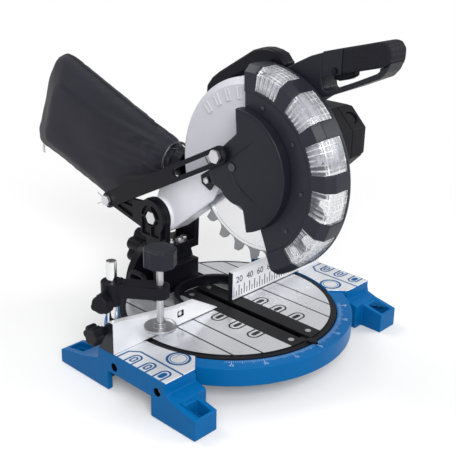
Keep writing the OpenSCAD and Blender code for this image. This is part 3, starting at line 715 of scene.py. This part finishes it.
hardware = {
    "stopNut": ((-11.5, 93.9, 57.5), (0, 0, 1), 4.2, 3.6, 3),  # seat, axis, radius, height, stud
    "stopScrew": ((12.7, 95, 57.5), (12.7, 95, 62), 4.4),
    "bracketNut": ((-21.8, 19, 165), (-1, 0, 0), 4.4, 2.6),
    "ring": {"r": 13.2, "z": 126.6, "steps": 24},
    # round the screw of the side cover
    "crease": ((-33.6, -62.7, 231.3), (-34, -38.8, 214.6), (-34, -29.6, 200.8), (-34, -31.6, 186.4),
               (-34, -44, 174.4), (-34, -57.9, 166), (-33.6, -71, 160.4)),
    "eye": ((-12, 95.5, 187.5), (-13, 88, 193), (-12, 80, 198), (-11, 75, 194), (-11, 80, 187),
            (-12, 95.5, 187)),
    "spring": ((-17, 27, 191), (-17.4, 21.3, 185.3), (-17.4, 16, 176), (-17, 12.6, 169.8)),
    "pin": (((-43, 188, 102), (-45, 195, 106), (-46, 200, 109.4)),
            ((-43, 188, 99), (-45, 195, 96), (-46, 201, 93.4))),
    "wires": {"ring": 0.9, "crease": 1.1, "eye": 0.8, "spring": 0.7, "pin": 0.8},  # radius
}


def ringPoints():
    ring = hardware["ring"]
    turns = [2 * math.pi * i / ring["steps"] for i in range(ring["steps"])]
    sides = [(ring["r"] * math.cos(a), ring["r"] * math.sin(a)) for a in turns]
    return [(clampScrew["x"] + u, clampScrew["y"] + v, ring["z"]) for u, v in sides]


def makeHardware():
    steel = finishes["steel"]
    dark = finishes["darkWire"]
    thick = hardware["wires"]
    stops = [hexScrew(*hardware["stopNut"]), soften(rod(*hardware["stopScrew"]), 0.6)]
    dress(join(stops, "tiltStops"), steel, "bevel_arm")
    ring = join([wire(ringPoints(), thick["ring"], True)], "knobRing")
    dress(ring, finishes["grey"], bodyOf["clamp_knob"])
    ridge = join([wire(hardware["crease"], thick["crease"])], "coverCrease")
    dress(ridge, finishes["charcoal"], bodyOf["guard_cover"])
    dress(join([wire(hardware["eye"], thick["eye"])], "clipEye"), dark, "head")
    dress(join([wire(hardware["spring"], thick["spring"])], "springWire"), dark, "head")
    dress(join([hexScrew(*hardware["bracketNut"])], "bracketScrew"), steel, "head")
    pins = [wire(points, thick["pin"]) for points in hardware["pin"]]
    dress(join(pins, "splitPin"), steel, bodyOf["link_rear_pin"])


makeHardware()
print("hardware fitted")


# dust bag

bag = {"voxel": 0.005, "neck": (0, 107, 171.5), "held": 0.034, "stretch": (0.045, 0.085, -0.2),
       "frames": 20, "gravity": 0.25, "cap": 0.008, "grow": 0.002, "edge": 0.004, "folds": 0.0032,
       "creases": 0.0016, "crumple": 22, "seam": 1.5, "seamStart": 128, "heart": (255, 178)}
cloth = {"quality": 6, "mass": 0.25, "tension_stiffness": 18, "compression_stiffness": 18,
         "shear_stiffness": 6, "bending_stiffness": 0.35, "use_pressure": True, "uniform_pressure_force": 2.0,
         "vertex_group_mass": "neck", "shrink_min": -0.035}
ramps = {  # start and length of each change
    "along": (0.03, 0.05), "drop": (0.09, 0.16), "cap": (0.03, 0.07),  # m
    "grow": (30, 70), "edge": (0, 22), "folds": (22, 120),  # mm
}
zipPull = {"hook": ((0, -2, 2), (0, 1, -3), (0, 1.5, -9)), "wire": 0.9,
           "tab": ((-1, -1, -20), (1, 4, -8)), "round": 0.8}  # from the lower corner of the seam


def ramp(value, start, length):  # 0 up to start, 1 from start + length
    return min(1, max(0, value - start) / length)


def pressCloth(obj):
    start = [v.co.copy() for v in obj.data.vertices]
    mod = obj.modifiers.new("cloth", "CLOTH")
    for key, value in cloth.items():
        setattr(mod.settings, key, value)
    mod.settings.effector_weights.gravity = bag["gravity"]
    mod.point_cache.frame_start = 1
    mod.point_cache.frame_end = bag["frames"]
    for i in range(1, bag["frames"] + 1):
        bpy.context.scene.frame_set(i)
    pick(obj)
    bpy.ops.object.modifier_apply(modifier=mod.name)
    bpy.context.scene.frame_set(1)
    mouth = bench(bag["neck"])
    for v, a in zip(obj.data.vertices, start):
        d = v.co - a
        cap = bag["cap"] * ramp((a - mouth).length, *ramps["cap"])  # little swell near the neck
        if d.length > cap:
            v.co = a + d * (cap / d.length)


def gatherNeck(obj):  # folds that run out from the neck
    neck = Vector(bag["neck"])
    for v in obj.data.vertices:
        p = v.co * 1000 - Vector(tableShift) - neck
        far = ramp(p.length, *ramps["grow"])
        edge = 1 - ramp(abs(p.x), *ramps["edge"])
        crease = bag["creases"] * noise.noise(v.co * bag["crumple"])
        v.co += v.normal * far * (bag["grow"] + bag["edge"] * edge + crease)
        if p.length > ramps["folds"][0]:
            a = math.atan2(p.z - 0.1 * p.y, p.x)
            fade = (1 - ramp(p.length, *ramps["folds"])) ** 1.4
            v.co += v.normal * bag["folds"] * fade * math.sin(a * 15 + math.sin(a * 5) * 2)


def seamPoints(obj):  # the outline of the bag in its middle plane
    best = {}
    for v in obj.data.vertices:
        p = v.co * 1000 - Vector(tableShift)
        u = p.y - bag["heart"][0]
        w = p.z - bag["heart"][1]
        key = round(math.degrees(math.atan2(w, u)) / 5) % 72
        if abs(p.x) < 9 and math.hypot(u, w) > best.get(key, (0, None))[0]:
            best[key] = (math.hypot(u, w), (0, p.y, p.z))
    points = [best[key][1] for key in sorted(best)]
    split = next(i for i, p in enumerate(points) if p[1] < bag["seamStart"])
    points = points[split:] + points[:split]
    return [p for p in points if p[1] > bag["seamStart"]]


def stretchBag(obj):  # the filled bag is longer and higher than its solid
    along, rise, drop = bag["stretch"]
    mouth = bench(bag["neck"])
    for v in obj.data.vertices:
        d = v.co - mouth
        far = ramp(d.length, *ramps["along"])
        v.co.y += d.y * along * far
        if d.z > 0:
            v.co.z += d.z * rise * far
        else:
            v.co.z += d.z * drop * ramp(d.y, *ramps["drop"])


def makeBag():
    obj = meshCopy("dust_bag", "dustBag")
    obj.data.remesh_voxel_size = bag["voxel"]
    bpy.ops.object.voxel_remesh()
    modify(obj, "SMOOTH", factor=0.5, iterations=2)
    stretchBag(obj)
    neck = obj.vertex_groups.new(name="neck")
    mouth = bench(bag["neck"])
    neck.add([v.index for v in obj.data.vertices if (v.co - mouth).length < bag["held"]], 1.0, "REPLACE")
    pressCloth(obj)
    gatherNeck(obj)
    modify(obj, "SMOOTH", factor=0.5, iterations=1)
    modify(obj, "SUBSURF", levels=1, render_levels=1)
    pick(obj)
    bpy.ops.object.shade_smooth()
    seam = seamPoints(obj)
    dress(join([wire(seam, bag["seam"])], "bagSeam"), finishes["piping"], "head")
    corner = Vector(max(seam, key=lambda p: p[1] - 0.8 * p[2]))
    hook = wire([corner + Vector(p) for p in zipPull["hook"]], zipPull["wire"])
    low, high = [corner + Vector(p) for p in zipPull["tab"]]
    tab = soften(slab(low.x, high.x, low.y, high.y, low.z, high.z), zipPull["round"])
    dress(join([hook, tab], "zipPull"), finishes["steel"], "head")
    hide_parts("dust_bag")
    dress(obj, finishes["bag"], "head")


makeBag()
print("bag sewn")


# floor, light and camera

view = {"place": (-0.70966, -0.64818, 0.53618), "forward": (0.67919, 0.63527, -0.36761),
        "roll": 1.265, "lens": 66.99}
lamps = {  # place, aim, size, power
    "key": ((-1.2, -1.5, 1.45), (0, 0, 0.15), 1.3, 38),
    "fill": ((1.4, -1.3, 1.2), (0, 0, 0.15), 1.2, 14),
    "back": ((-0.3, 1.4, 1.9), (0, 0.1, 0.2), 1.2, 16),
}
floorLook = {"size": 14, "drop": -0.0003, "middle": 0.05, "near": 0.44, "far": 0.8, "glow": 0.12,
             "seen": (0.78, 0.78, 0.78), "unseen": (0.42, 0.42, 0.42)}
surround = 0.55  # strength of the white surround where it only lights


def makeCamera():
    data = bpy.data.cameras.new("camera")
    data.lens = view["lens"]
    data.sensor_width = 36
    data.clip_start = 0.01
    data.clip_end = 50
    obj = bpy.data.objects.new("camera", data)
    bpy.context.scene.collection.objects.link(obj)
    forward = Vector(view["forward"]).normalized()
    right = forward.cross(Vector((0, 0, 1))).normalized()
    up = right.cross(forward)
    turn = Matrix((right, up, -forward)).transposed() @ Matrix.Rotation(math.radians(view["roll"]), 3, "Z")
    obj.matrix_world = Matrix.Translation(view["place"]) @ turn.to_4x4()
    bpy.context.scene.camera = obj


def makeLamp(name, place, aim, size, power):
    data = bpy.data.lights.new(name, "AREA")
    data.shape = "DISK"
    data.size = size
    data.energy = power
    obj = bpy.data.objects.new(name, data)
    bpy.context.scene.collection.objects.link(obj)
    obj.location = place
    obj.rotation_euler = (Vector(aim) - Vector(place)).to_track_quat("-Z", "Y").to_euler()


def makeFloor():  # a pale floor that goes to white away from the object
    bpy.ops.mesh.primitive_plane_add(size=floorLook["size"], location=(0, 0, floorLook["drop"]))
    floor = bpy.context.object
    floor.name = "floor"
    f = Finish("paleFloor")
    path = f.add("ShaderNodeLightPath", out=None)
    seen = path[0] | path[3] | path[6]  # camera, glossy and transmission rays
    x, y = f.place()[:2]
    x = x / 1000
    y = y / 1000 - floorLook["middle"]
    far = ((x * x + y * y) ** 0.5).step(floorLook["near"], floorLook["far"])
    tone = f.blend(seen, floorLook["unseen"], floorLook["seen"])
    f.feed(Base_Color=tone, Roughness=0.9, Specular_IOR_Level=0.1)
    pale = f.add("ShaderNodeEmission", None, {"Strength": seen * floorLook["glow"]})
    lit = f.add("ShaderNodeAddShader", None, {0: Wire(f.tree, f.shader.outputs[0]), 1: pale})
    white = f.add("ShaderNodeEmission", None, {"Strength": 1.0})
    both = f.add("ShaderNodeMixShader", None, {0: far & seen, 1: lit, 2: white})
    f.join(both, f.tree.nodes["Material Output"].inputs["Surface"])
    floor.data.materials.append(f.mat)


def makeWorld():
    world = bpy.data.worlds.new("studio")
    bpy.context.scene.world = world
    world.use_nodes = True
    g = Graph(world.node_tree)
    path = g.add("ShaderNodeLightPath", out=None)
    shown = (path[0] | path[6]).clamp()  # camera and transmission rays
    back = world.node_tree.nodes["Background"]
    g.join(shown + (1 - shown) * surround, back.inputs["Strength"])
    g.join((1, 1, 1, 1), back.inputs["Color"])


makeCamera()
makeFloor()
makeWorld()
for name, (place, aim, size, power) in lamps.items():
    makeLamp(name, place, aim, size, power)
bpy.context.scene.view_settings.view_transform = "Standard"
print("studio ready")
